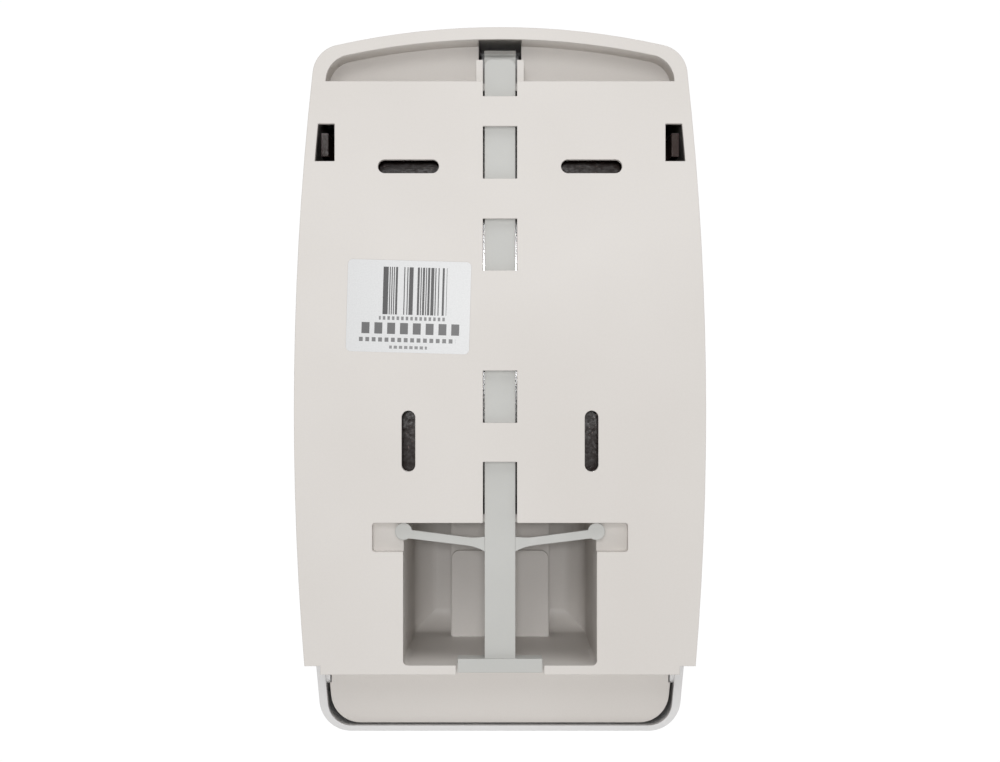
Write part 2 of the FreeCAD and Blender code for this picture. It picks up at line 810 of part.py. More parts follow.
def pump_body():
    """The pump's cylinder with its inlet tube above and its outlet tube below."""
    body = rod_y(pump_outer_r, pump_back_y, pump_front_y, 0, pump_z)
    flange_top = neck_low_z - gasket_t
    body = body.fuse(rod_z(inlet_tube_r, pump_z, flange_top, 0, pump_y))
    body = body.fuse(rod_z(neck_outer_r, flange_top - flange_t, flange_top, 0, pump_y))
    body = body.fuse(rod_z(neck_bore_r - spigot_gap, flange_top, spigot_top_z, 0, pump_y))
    body = body.fuse(rod_z(outlet_tube_r, pump_z, outlet_tube_low_z, 0, pump_y))
    body = body.cut(rod_y(pump_bore_r, pump_back_y - pump_end_wall, pump_front_y, 0, pump_z))
    body = body.cut(rod_z(port_r, pump_z, ball_room_low_z, 0, pump_y))
    body = body.cut(rod_z(ball_room_r, ball_room_low_z, ball_room_top_z, 0, pump_y))
    body = body.cut(rod_z(spigot_bore_r, ball_room_top_z, spigot_top_z, 0, pump_y))
    body = body.cut(rod_z(port_r, outlet_tube_low_z, pump_z, 0, pump_y))
    return body.removeSplitter()


def ring_z(outer, inner, z0, z1):
    return rod_z(outer, z0, z1, 0, pump_y).cut(rod_z(inner, z0, z1, 0, pump_y))


def inlet_gasket():
    """A flat ring between the tank's neck and the pump's flange."""
    return ring_z(neck_outer_r, neck_bore_r, neck_low_z - gasket_t, neck_low_z)


def fluted(nut, along_z):
    """Grip flutes round a nut."""
    for k in range(flute_count):
        angle = 2 * math.pi * k / flute_count
        if along_z:
            r = collar_outer_r + flute_r / 2
            x, y = r * math.cos(angle), pump_y + r * math.sin(angle)
            nut = nut.cut(rod_z(flute_r, neck_low_z - flute_drop, collar_top_z, x, y))
        else:
            r = cap_outer_r + flute_r / 2
            x, z = r * math.cos(angle), pump_z + r * math.sin(angle)
            nut = nut.cut(rod_y(flute_r, cap_back_y, cap_front_y() + flute_end_gap, x, z))
    return nut


def inlet_collar():
    """The union nut that hangs the pump on the tank's neck."""
    flange_low = neck_low_z - gasket_t - flange_t
    nut = ring_z(collar_outer_r, neck_outer_r + collar_thread_gap, flange_low, collar_top_z)
    lip = ring_z(collar_outer_r, inlet_tube_r + spigot_gap, flange_low - collar_lip_t, flange_low)
    return fluted(nut.fuse(lip).removeSplitter(), True)


def cap_front_y():
    """The front face of the pump's cap."""
    return pump_front_y - cap_seal_t - cap_front_t


def pump_cap():
    """The cap nut that closes the cylinder round the plunger's stem."""
    cap = rod_y(cap_outer_r, cap_back_y, cap_front_y(), 0, pump_z)
    thread_r = pump_outer_r + cap_thread_gap
    cap = cap.cut(rod_y(thread_r, cap_back_y, pump_front_y - cap_seal_t, 0, pump_z))
    cap = cap.cut(rod_y(stem_r + stem_hole_gap, cap_back_y, cap_front_y(), 0, pump_z))
    return fluted(cap, False)


def cap_seal():
    """A thin ring between the cap and the cylinder."""
    ring = rod_y(pump_outer_r, pump_front_y, pump_front_y - cap_seal_t, 0, pump_z)
    return ring.cut(rod_y(pump_bore_r, pump_front_y, pump_front_y - cap_seal_t, 0, pump_z))


def seal_groove_y():
    """The back end of the groove round the piston's head."""
    return piston_rim_y - (piston_head_t - seal_width) / 2


def pump_plunger():
    """The piston's head, with a groove for its seal, and the hollow stem in one piece."""
    head_r = pump_bore_r - piston_gap
    plunger = rod_y(head_r, piston_rim_y, piston_rim_y - piston_head_t, 0, pump_z)
    stem = rod_y(stem_r, piston_rim_y, stem_front_y, 0, pump_z)
    front = [e for e in stem.Edges if e.BoundBox.YMax < stem_front_y + slack]
    plunger = plunger.fuse(stem.makeFillet(stem_edge_r, front))
    plunger = plunger.cut(rod_y(stem_bore_r, piston_rim_y, stem_front_y + stem_front_wall, 0, pump_z))
    back = seal_groove_y()
    groove = rod_y(pump_bore_r, back, back - seal_width, 0, pump_z)
    groove = groove.cut(rod_y(head_r - seal_depth, back, back - seal_width, 0, pump_z))
    return plunger.cut(groove).removeSplitter()


def piston_seal():
    """The rubber ring in the piston's groove, running in the cylinder."""
    back = seal_groove_y()
    ring = rod_y(pump_bore_r - seal_gap, back, back - seal_width, 0, pump_z)
    groove_r = pump_bore_r - piston_gap - seal_depth
    return ring.cut(rod_y(groove_r, back, back - seal_width, 0, pump_z))


def plunger_spring():
    """A coil spring between the cylinder's end wall and the inside of the stem."""
    back = pump_back_y - pump_end_wall - coil_wire_r - coil_end_gap
    front = stem_front_y + stem_front_wall + coil_wire_r + coil_end_gap
    height = back - front
    helix = Part.makeHelix(height / coil_turns, height, coil_r)
    section = Part.Wire(Part.makeCircle(coil_wire_r, Vector(coil_r, 0, 0), BACK))
    coil = Part.Wire(helix.Edges).makePipeShell([section], True, True)
    coil.rotate(Vector(0, 0, 0), EAST, 90)
    coil.translate(Vector(0, back, pump_z))
    return coil


def inlet_ball():
    """The check ball, resting on the rim of the port below it."""
    rest = math.sqrt(ball_r**2 - port_r**2)
    return Part.makeSphere(ball_r, Vector(0, pump_y, ball_room_low_z + rest + ball_play))


def outlet_valve():
    """A rubber duckbill under the outlet tube."""
    top = outlet_tube_low_z
    flange = rod_z(outlet_tube_r, top - valve_flange_t, top, 0, pump_y)
    bill_top = top - valve_flange_t
    bill = rod_z(valve_bill_r, bill_top - valve_length, bill_top, 0, pump_y)
    r, tip = valve_bill_r, bill_top - valve_length
    for side in (-1, 1):
        points = [
            Vector(-r, pump_y + side * r, bill_top - valve_length / 3),
            Vector(-r, pump_y + side * r, tip),
            Vector(-r, pump_y + side * valve_slit_half, tip),
        ]
        wedge = Part.Face(Part.makePolygon(points + points[:1])).extrude(EAST * (2 * r))
        bill = bill.cut(wedge)
    return flange.fuse(bill).removeSplitter()


def soap_nozzle():
    """The sleeve on the outlet tube that narrows to the tip."""
    bore_r = outlet_tube_r + nozzle_sleeve_gap
    outer_r = bore_r + nozzle_sleeve_t
    sleeve = rod_z(outer_r, nozzle_shoulder_z, nozzle_sleeve_top_z, 0, pump_y)
    height = nozzle_shoulder_z - nozzle_tip_z
    cone = Part.makeCone(nozzle_tip_r, outer_r, height, Vector(0, pump_y, nozzle_tip_z), UP)
    nozzle = sleeve.fuse(cone)
    seat_z = outlet_tube_low_z - valve_flange_t
    nozzle = nozzle.cut(rod_z(bore_r, seat_z, nozzle_sleeve_top_z, 0, pump_y))
    room_r, room_low = nozzle_bore_r + valve_side_room, seat_z - valve_length - valve_end_room
    nozzle = nozzle.cut(rod_z(room_r, room_low, seat_z, 0, pump_y))
    return nozzle.cut(rod_z(nozzle_bore_r, nozzle_tip_z, seat_z, 0, pump_y)).removeSplitter()


def release_slider():
    """The long strip with the hook at its head and the foot that is pushed up to open the cover."""
    low = foot_low_z + overlap
    strip = box(-strip_half, strip_half, strip_back_y, strip_front_y, low, slider_top_z)
    strip = strip.makeFillet(strip_t, edges_along(strip, BACK, lambda p: p.z > 0))
    face, top, under = strip_front_y, hook_top_z, hook_under_z
    beak_back = cover_back_y - lip_t / 2 - lip_gap
    beak_front = beak_back - beak_t
    profile = [
        (face + hook_sink, under - hook_root_drop),
        (face - hook_shoulder_depth, under - hook_shoulder_drop),
        (face - hook_neck_depth, under),
        (beak_back, under),
        (beak_back, beak_tip_z),
        (beak_front, beak_tip_z + beak_slope),
        (beak_front, top - hook_chamfer),
        (beak_front + hook_chamfer, top),
        (face - hook_crown_depth, top),
        (face + hook_back_sink, top - hook_back_drop),
        (face - hook_groove_depth, top - hook_groove_drop),
        (face - hook_groove_depth, slider_top_z - hook_groove_low_drop),
        (face + hook_sink, slider_top_z - hook_foot_drop),
    ]
    points = [Vector(-hook_half, y, z) for y, z in profile]
    hook = Part.Face(Part.makePolygon(points + points[:1])).extrude(EAST * (2 * hook_half))
    half, ledge_low = foot_half, foot_top_z - foot_ledge_t
    foot = box(-half, half, foot_back_y, strip_front_y, foot_low_z, foot_top_z)
    ledge = box(-half, half, foot_back_y, -foot_ledge_depth, ledge_low, foot_top_z)
    return strip.fuse(hook).fuse(foot).fuse(ledge).removeSplitter()


def release_spring():
    """Two springy arms from the strip to the ear pockets; they bend as the slider rises."""
    tip_z = bay_top_z - arm_rest_gap - arm_tip_r
    tip = rod_y(arm_tip_r, strip_back_y, strip_front_y, arm_tip_x, tip_z)
    outer_top = tip_z + arm_tip_rise
    elbow_low = arm_elbow_z - arm_t
    outline = [
        (strip_half, arm_elbow_z + arm_elbow_rise),
        (arm_elbow_x - arm_elbow_back, arm_elbow_z),
        (arm_tip_x - arm_tip_back, outer_top + arm_tip_lift),
        (arm_tip_x - arm_tip_under, outer_top - arm_t),
        (arm_elbow_x, elbow_low),
        (arm_elbow_x - arm_elbow_under, elbow_low - arm_elbow_drop),
        (strip_half, arm_root_z),
    ]
    points = [Vector(x, strip_back_y, z) for x, z in outline]
    arm = Part.Face(Part.makePolygon(points + points[:1])).extrude(BACK * -strip_t)
    arm = arm.fuse(tip).removeSplitter()
    return Part.makeCompound([arm, mirrored(arm)])


def main():
    os.makedirs("parts", exist_ok=True)
    outside = cover_form(0, 0, 0, 0)
    inside = cover_form(cover_side_wall, cover_top_wall, cover_base_wall, cover_front_wall)
    pin = hinge_pin()
    half_wall = cover_base_wall / 2
    inside_wall = cover_form(half_wall, half_wall, half_wall, half_wall)
    nodes = {
        "rear_housing": rear_housing(),
        "hinge_pin_left": pin,
        "hinge_pin_right": mirrored(pin),
        "front_cover": front_cover(outside, inside, inside_wall),
        "level_window": level_window(),
        "push_lever": push_lever(outside, inside_wall),
        "lever_rod": lever_rod(),
        "soap_tank": soap_tank(),
        "tank_lid": tank_lid(),
        "lid_seal": lid_seal(),
        "pump_body": pump_body(),
        "pump_cap": pump_cap(),
        "cap_seal": cap_seal(),
        "inlet_gasket": inlet_gasket(),
        "inlet_collar": inlet_collar(),
        "inlet_ball": inlet_ball(),
        "pump_plunger": pump_plunger(),
        "piston_seal": piston_seal(),
        "plunger_spring": plunger_spring(),
        "outlet_valve": outlet_valve(),
        "soap_nozzle": soap_nozzle(),
        "release_slider": release_slider(),
        "release_spring": release_spring(),
        "back_label": label_block(label_t),
    }
    for name, shape in nodes.items():
        sound = shape.isValid()
        print(name, "solids", len(shape.Solids), "volume", round(shape.Volume, 1), "valid", sound)
        shape.exportStep("parts/" + name + ".step")


main()
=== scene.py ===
import math

import bpy
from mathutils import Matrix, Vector


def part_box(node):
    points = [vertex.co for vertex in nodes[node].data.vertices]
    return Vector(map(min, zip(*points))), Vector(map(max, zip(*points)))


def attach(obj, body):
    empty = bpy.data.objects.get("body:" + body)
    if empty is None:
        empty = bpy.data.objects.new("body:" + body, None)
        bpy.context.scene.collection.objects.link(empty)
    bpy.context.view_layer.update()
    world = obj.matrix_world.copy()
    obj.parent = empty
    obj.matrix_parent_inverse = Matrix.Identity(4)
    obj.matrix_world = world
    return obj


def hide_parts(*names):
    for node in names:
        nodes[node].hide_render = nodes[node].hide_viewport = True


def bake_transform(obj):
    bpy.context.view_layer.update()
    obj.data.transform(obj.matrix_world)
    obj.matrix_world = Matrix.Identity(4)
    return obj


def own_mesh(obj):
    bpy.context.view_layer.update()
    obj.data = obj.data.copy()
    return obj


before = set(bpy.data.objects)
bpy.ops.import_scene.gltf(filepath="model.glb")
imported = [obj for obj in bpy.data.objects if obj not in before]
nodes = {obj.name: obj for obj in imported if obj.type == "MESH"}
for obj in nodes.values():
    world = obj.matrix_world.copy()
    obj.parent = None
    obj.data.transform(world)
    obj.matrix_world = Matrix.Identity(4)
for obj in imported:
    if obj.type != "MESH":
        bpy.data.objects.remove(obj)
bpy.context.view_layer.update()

mm = 0.001
print("frame loaded:", len(nodes), "nodes")


class Link:
    # a node's output socket that takes part in arithmetic
    def __init__(self, nodeTree, socket):
        self.nodeTree = nodeTree
        self.socket = socket

    def calc(self, operation, *values):
        return self.nodeTree.node("ShaderNodeMath", {"operation": operation}, dict(enumerate(values)))

    def alone(self, operation):
        return self.calc(operation, self)

    def __add__(self, other):
        return self.calc("ADD", self, other)

    def __radd__(self, other):
        return self.calc("ADD", other, self)

    def __sub__(self, other):
        return self.calc("SUBTRACT", self, other)

    def __rsub__(self, other):
        return self.calc("SUBTRACT", other, self)

    def __mul__(self, other):
        return self.calc("MULTIPLY", self, other)

    def __rmul__(self, other):
        return self.calc("MULTIPLY", other, self)

    def __gt__(self, other):
        return self.calc("GREATER_THAN", self, other)

    def __lt__(self, other):
        return self.calc("LESS_THAN", self, other)


class NodeTree:
    # the nodes of a material or of the world, each made by one method
    def __init__(self, tree):
        self.tree = tree

    def node(self, kind, settings, sockets, output=0):
        made = self.tree.nodes.new(kind)
        for key, value in settings.items():
            setattr(made, key, value)
        for key, value in sockets.items():
            if isinstance(value, Link):
                self.tree.links.new(value.socket, made.inputs[key])
            else:
                made.inputs[key].default_value = value
        return Link(self, made.outputs[output])

    def end(self, link, nodeName):
        self.tree.links.new(link.socket, self.tree.nodes[nodeName].inputs["Surface"])


class Finish(NodeTree):
    # one material: a Principled shader and the nodes that feed it
    def __init__(self, name, constants):
        self.material = bpy.data.materials.new(name)
        self.material.use_nodes = True
        super().__init__(self.material.node_tree)
        self.shader = self.tree.nodes["Principled BSDF"]
        for socket, value in constants.items():
            self.shader.inputs[socket].default_value = value
        self.place = self.node("ShaderNodeTexCoord", {}, {}, "Object")

    def feed(self, socket, link):
        self.tree.links.new(link.socket, self.shader.inputs[socket])

    def mapped(self, where=None, move=(0, 0, 0), turn=(0, 0, 0), stretch=(1, 1, 1)):
        places = {"Vector": where or self.place, "Location": move, "Rotation": turn, "Scale": stretch}
        return self.node("ShaderNodeMapping", {"vector_type": "POINT"}, places)

    def noise(self, scale, detail=2.0, rough=0.5, where=None):
        places = {"Vector": where or self.place, "Scale": scale, "Detail": detail, "Roughness": rough}
        return self.node("ShaderNodeTexNoise", {}, places, "Fac")

    def axes(self, where=None):
        split = self.node("ShaderNodeSeparateXYZ", {}, {"Vector": where or self.place})
        return [Link(self, output) for output in split.socket.node.outputs]

    def between(self, low, high, factor):
        mix = {0: factor, 6: low, 7: high}
        return self.node("ShaderNodeMix", {"data_type": "RGBA", "clamp_factor": True}, mix, 2)

    def spread(self, value, span, result=(0.0, 1.0)):
        sockets = {"Value": value, "From Min": span[0], "From Max": span[1],
                   "To Min": result[0], "To Max": result[1]}
        return self.node("ShaderNodeMapRange", {"clamp": True}, sockets)

    def bump(self, height, strength, distance, under=None):
        sockets = {"Height": height, "Strength": strength, "Distance": distance}
        if under:
            sockets["Normal"] = under
        return self.node("ShaderNodeBump", {}, sockets)

    def softEdge(self, radius):
        return self.node("ShaderNodeBevel", {"samples": 6}, {"Radius": radius})


def rgba(red, green, blue):
    return (red, green, blue, 1.0)


# moulded plastics: a base colour, a slightly darker cloud, a spark-eroded grain and a rounded edge
mouldedLooks = {
    "housingWhite": {
        "colour": rgba(0.73, 0.70, 0.67), "cloud": rgba(0.68, 0.645, 0.61), "cloudScale": 9.0,
        "rough": (0.40, 0.52), "grain": 2600.0, "grainHeight": 0.10, "edge": 0.35 * mm, "coat": 0.0,
    },
    "coverWhite": {
        "colour": rgba(0.79, 0.785, 0.785), "cloud": rgba(0.775, 0.77, 0.77), "cloudScale": 7.0,
        "rough": (0.27, 0.30), "grain": 520.0, "grainHeight": 0.05, "edge": 0.4 * mm, "coat": 0.15,
    },
    "leverWhite": {
        "colour": rgba(0.77, 0.765, 0.77), "cloud": rgba(0.75, 0.747, 0.753), "cloudScale": 11.0,
        "rough": (0.30, 0.38), "grain": 1900.0, "grainHeight": 0.12, "edge": 0.5 * mm, "coat": 0.0,
    },
    "sliderGrey": {
        "colour": rgba(0.545, 0.545, 0.525), "cloud": rgba(0.515, 0.517, 0.495), "cloudScale": 30.0,
        "rough": (0.38, 0.50), "grain": 2100.0, "grainHeight": 0.09, "edge": 0.35 * mm, "coat": 0.0,
    },
    "pumpNatural": {
        "colour": rgba(0.72, 0.71, 0.66), "cloud": rgba(0.66, 0.65, 0.59), "cloudScale": 60.0,
        "rough": (0.34, 0.46), "grain": 2400.0, "grainHeight": 0.08, "edge": 0.2 * mm, "coat": 0.0,
    },
    "pumpGrey": {
        "colour": rgba(0.12, 0.125, 0.135), "cloud": rgba(0.09, 0.095, 0.10), "cloudScale": 70.0,
        "rough": (0.38, 0.52), "grain": 1800.0, "grainHeight": 0.14, "edge": 0.2 * mm, "coat": 0.0,
    },
}


def mouldedPlastic(name):
    look = mouldedLooks[name]
    constants = {"IOR": 1.5, "Coat Weight": look["coat"], "Coat Roughness": 0.12}
    finish = Finish(name, constants)
    cloud = finish.noise(look["cloudScale"], detail=3.0, rough=0.55)
    speck = finish.noise(look["grain"] * 0.5, detail=1.0, rough=0.4)
    tone = finish.spread(cloud + 0.25 * speck, span=(0.30, 0.95))
    finish.feed("Base Color", finish.between(look["colour"], look["cloud"], tone))
    finish.feed("Roughness", finish.spread(cloud, span=(0.2, 0.8), result=look["rough"]))
    grain = finish.noise(look["grain"], rough=0.6)
    rounded = finish.softEdge(look["edge"])
    finish.feed("Normal", finish.bump(grain, look["grainHeight"], 0.08 * mm, rounded))
    return finish.material


smokeLook = {
    "tint": rgba(0.085, 0.055, 0.048), "deep": rgba(0.050, 0.032, 0.028), "clear": 0.50,
    "flowScale": 26.0, "flowStretch": (1, 1, 0.25), "wipeScale": 900.0, "rough": (0.07, 0.16),
    "wave": 0.4 * mm, "edge": 0.4 * mm,
}


def smokedPlastic():
    constants = {"IOR": 1.49, "Transmission Weight": smokeLook["clear"], "Specular IOR Level": 0.5}
    finish = Finish("smokedPlastic", constants)
    flow = finish.noise(smokeLook["flowScale"], where=finish.mapped(stretch=smokeLook["flowStretch"]))
    tone = finish.spread(flow, span=(0.35, 0.7))
    finish.feed("Base Color", finish.between(smokeLook["tint"], smokeLook["deep"], tone))
    wipe = finish.noise(smokeLook["wipeScale"], detail=3.0, rough=0.6)
    finish.feed("Roughness", finish.spread(wipe, span=(0.3, 0.75), result=smokeLook["rough"]))
    rounded = finish.softEdge(smokeLook["edge"])
    finish.feed("Normal", finish.bump(flow, 0.10, smokeLook["wave"], rounded))
    return finish.material


metalLooks = {
    "pinSteel": {
        "colour": rgba(0.60, 0.60, 0.60), "dulled": rgba(0.492, 0.492, 0.492), "rough": (0.20, 0.38),
        "stretch": (14, 1, 1), "scale": 320.0,
    },
    "springSteel": {
        "colour": rgba(0.50, 0.50, 0.52), "dulled": rgba(0.41, 0.41, 0.4264), "rough": (0.22, 0.34),
        "stretch": (1, 3, 1), "scale": 900.0,
    },
    "ballSteel": {
        "colour": rgba(0.68, 0.68, 0.69), "dulled": rgba(0.5576, 0.5576, 0.5658), "rough": (0.05, 0.10),
        "stretch": (1, 1, 1), "scale": 1500.0,
    },
}


def turnedSteel(name):
    look = metalLooks[name]
    finish = Finish(name, {"Metallic": 1.0})
    streak = finish.noise(look["scale"], detail=3.0, rough=0.6, where=finish.mapped(stretch=look["stretch"]))
    tone = finish.spread(streak, span=(0.35, 0.7))
    finish.feed("Base Color", finish.between(look["colour"], look["dulled"], tone))
    finish.feed("Roughness", finish.spread(streak, span=(0.3, 0.7), result=look["rough"]))
    finish.feed("Normal", finish.bump(streak, 0.15, 0.02 * mm))
    return finish.material


rubberLooks = {
    "sealRubber": {
        "colour": rgba(0.018, 0.018, 0.020), "bloom": rgba(0.045, 0.045, 0.048), "rough": (0.55, 0.75),
    },
    "valveSilicone": {
        "colour": rgba(0.55, 0.50, 0.45), "bloom": rgba(0.62, 0.58, 0.53), "rough": (0.35, 0.50),
    },
}
rubberGrain = {"bloomScale": 420.0, "grainScale": 3200.0, "height": 0.05 * mm, "edge": 0.15 * mm}


def softRubber(name):
    look = rubberLooks[name]
    finish = Finish(name, {"Specular IOR Level": 0.35})
    bloom = finish.noise(rubberGrain["bloomScale"], detail=4.0, rough=0.65)
    tone = finish.spread(bloom, span=(0.45, 0.75))
    finish.feed("Base Color", finish.between(look["colour"], look["bloom"], tone))
    finish.feed("Roughness", finish.spread(bloom, span=(0.3, 0.7), result=look["rough"]))
    grain = finish.noise(rubberGrain["grainScale"])
    rounded = finish.softEdge(rubberGrain["edge"])
    finish.feed("Normal", finish.bump(grain, 0.2, rubberGrain["height"], rounded))
    return finish.material


# the label: a block of bars and rows of plain dashes, in mm from its middle, u to the east, v up
labelLook = {
    "tiltDegrees": 1.6,
    "bars": {"u": (-12.4, 8.6), "v": (-2.7, 12.9), "step": 0.34, "share": 0.5},
    "rows": [
        {"u": (-12.4, 9.6), "v": (-4.5, -3.3), "step": 1.5, "share": 0.55, "ink": 0.75},
        {"u": (-17.4, 15.8), "v": (-9.1, -5.4), "step": 4.2, "share": 0.62, "ink": 0.9},
        {"u": (-15.6, 16.4), "v": (-11.7, -10.3), "step": 2.1, "share": 0.6, "ink": 0.8},
        {"u": (-6.4, 6.0), "v": (-13.9, -12.9), "step": 1.7, "share": 0.65, "ink": 0.7},
    ],
    "paper": rgba(0.66, 0.665, 0.67),
    "shade": rgba(0.62, 0.625, 0.63),
    "ink": rgba(0.025, 0.024, 0.026),
    "fibreScale": 2200.0, "fibreHeight": 0.03 * mm, "rough": (0.32, 0.5),
}


def inside(value, span):
    return (value > span[0]) - (value > span[1])


def printedPaper():
    look = labelLook
    low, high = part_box("back_label")
    middle = (low + high) / 2
    finish = Finish("printedPaper", {"Coat Weight": 0.15, "Coat Roughness": 0.25, "IOR": 1.45})
    perMetre = 1 / mm
    centred = finish.mapped(move=tuple(-middle * perMetre), stretch=(perMetre, perMetre, perMetre))
    u, _, v = finish.axes(finish.mapped(centred, turn=(0, math.radians(look["tiltDegrees"]), 0)))
    bars = look["bars"]
    cell = (u * (1.0 / bars["step"])).alone("FLOOR")
    chance = finish.node("ShaderNodeTexWhiteNoise", {"noise_dimensions": "1D"}, {"W": cell}, "Value")
    printed = (chance < bars["share"]) * inside(u, bars["u"]) * inside(v, bars["v"])
    for row in look["rows"]:
        part = (u * (1.0 / row["step"])).alone("FRACT")
        dash = (part < row["share"]) * inside(u, row["u"]) * inside(v, row["v"])
        printed = printed.calc("MAXIMUM", printed, dash * row["ink"])
    fibre = finish.noise(look["fibreScale"], detail=3.0, rough=0.6)
    sheet = finish.between(look["paper"], look["shade"], finish.spread(fibre, span=(0.4, 0.7)))
    finish.feed("Base Color", finish.between(look["ink"], sheet, 1 - printed))
    finish.feed("Roughness", finish.spread(fibre + 0.4 * printed, span=(0.3, 1.1), result=look["rough"]))
    finish.feed("Normal", finish.bump(fibre, 0.12, look["fibreHeight"]))
    return finish.material


floorLook = {
    "pale": rgba(0.93, 0.93, 0.93), "cloud": rgba(0.90, 0.90, 0.90), "cloudScale": 1.2,
    "rough": (0.75, 0.9), "glow": 0.36, "fade": (1.3, 3.6),
}


def plainStage():
    finish = Finish("paleFloor", {"Specular IOR Level": 0.2, "Emission Color": rgba(1.0, 1.0, 1.0),
                                  "Emission Strength": floorLook["glow"]})
    drift = finish.noise(floorLook["cloudScale"])
    finish.feed("Base Color", finish.between(floorLook["pale"], floorLook["cloud"], drift))
    finish.feed("Roughness", finish.spread(drift, span=(0.3, 0.7), result=floorLook["rough"]))
    x, y, _ = finish.axes()
    radius = (x * x + y * y).alone("SQRT")
    away = finish.spread(radius, span=floorLook["fade"])      # the floor thins out towards its rim
    clear = finish.node("ShaderNodeBsdfTransparent", {}, {})
    solid = Link(finish, finish.shader.outputs[0])
    finish.end(finish.node("ShaderNodeMixShader", {}, {0: away, 1: solid, 2: clear}), "Material Output")
    return finish.material


finishes = {name: mouldedPlastic(name) for name in mouldedLooks}
finishes.update({name: turnedSteel(name) for name in metalLooks})
finishes.update({name: softRubber(name) for name in rubberLooks})
finishes["smokedPlastic"] = smokedPlastic()
finishes["printedPaper"] = printedPaper()
print("finishes made:", len(finishes))

nodeFinishes = {
    "rear_housing": "housingWhite", "front_cover": "coverWhite", "push_lever": "leverWhite",
    "release_slider": "sliderGrey", "release_spring": "sliderGrey",
    "soap_tank": "smokedPlastic", "tank_lid": "smokedPlastic", "level_window": "smokedPlastic",
    "hinge_pin_left": "pinSteel", "hinge_pin_right": "pinSteel", "lever_rod": "pinSteel",
    "plunger_spring": "springSteel", "inlet_ball": "ballSteel",
    "pump_body": "pumpNatural", "pump_plunger": "pumpNatural",
    "pump_cap": "pumpGrey", "inlet_collar": "pumpGrey", "soap_nozzle": "pumpGrey",
    "lid_seal": "sealRubber", "cap_seal": "sealRubber", "inlet_gasket": "sealRubber",
    "piston_seal": "sealRubber", "outlet_valve": "valveSilicone", "back_label": "printedPaper",
}


def dress(piece, finishName):
    piece.data.materials.clear()
    piece.data.materials.append(finishes[finishName])


for nodeName, finishName in nodeFinishes.items():
    dress(nodes[nodeName], finishName)
print("nodes dressed:", len(nodeFinishes))


quarter = (math.pi / 2, 0, 0)      # a quarter turn about the east axis


def clearSelection():
    if bpy.context.object and bpy.context.object.mode != "OBJECT":
        bpy.ops.object.mode_set(mode="OBJECT")
    bpy.ops.object.select_all(action="DESELECT")


def settle(piece, name):
    # the finished piece keeps its place in its mesh, with its object at the origin
    clearSelection()
    bpy.context.view_layer.objects.active = piece
    piece.select_set(True)
    bpy.ops.object.transform_apply(location=True, rotation=True, scale=True)
    piece.name = name
    piece.data.name = name
    return piece


def addModifier(piece, kind, settings):
    made = piece.modifiers.new(kind, kind)
    for key, value in settings.items():
        setattr(made, key, value)
    bpy.context.view_layer.objects.active = piece
    bpy.ops.object.modifier_apply(modifier=made.name)


# the plunger's return spring, wound from a wire section with a screw
coilSizes = {"wireR": 0.45 * mm, "turns": 9, "sections": 10, "stepsPerTurn": 36}


def windCoil():
    low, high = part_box("plunger_spring")
    wireR = coilSizes["wireR"]
    meanR = (high.x - low.x) / 2 - wireR
    length = high.y - low.y - 2 * wireR
    clearSelection()
    bpy.ops.mesh.primitive_circle_add(vertices=coilSizes["sections"], radius=wireR,
                                      location=(meanR, 0, 0), rotation=quarter)
    coil = bpy.context.object
    settle(coil, "plungerCoil")
    turns = coilSizes["turns"]
    steps = coilSizes["stepsPerTurn"] * turns
    addModifier(coil, "SCREW", {"angle": 2 * math.pi * turns, "screw_offset": length, "steps": steps,
                                "render_steps": steps, "axis": "Z", "use_smooth_shade": True})
    bpy.ops.object.mode_set(mode="EDIT")
    bpy.ops.mesh.select_all(action="SELECT")
    bpy.ops.mesh.fill_holes(sides=coilSizes["sections"])
    bpy.ops.mesh.normals_make_consistent(inside=False)
    bpy.ops.object.mode_set(mode="OBJECT")
    coil.rotation_euler = quarter      # its axis runs to the front
    coil.location = (0, high.y - wireR, (low.z + high.z) / 2)
    settle(coil, "plungerCoil")
    dress(coil, "springSteel")
    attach(coil, "housing")
    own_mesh(coil)
    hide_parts("plunger_spring")


windCoil()
print("coil wound")


# one springy arm of the release strip, drawn out of its root to a round tip
# stations are x, top and bottom in mm; the arm runs between the strip and the housing
armSizes = {
    "stations": [
        (5.05, -76.50, -81.30), (6.2, -76.62, -80.75), (7.6, -76.72, -80.15), (9.3, -76.75, -79.65),
        (11.3, -76.55, -79.30), (15.0, -76.07, -78.86), (20.0, -75.42, -78.26), (25.0, -74.80, -77.65),
        (28.5, -74.35, -77.20), (30.6, -74.20, -77.05),
    ],
    "tipX": 31.7, "tipZ": -74.75, "tipR": 2.8, "tipSides": 48,
    "edge": 0.35, "edgeSegments": 3, "edgeDegrees": 50, "smoothDegrees": 35,
    "bendFrom": 5.5, "bendTo": 29.0,
}


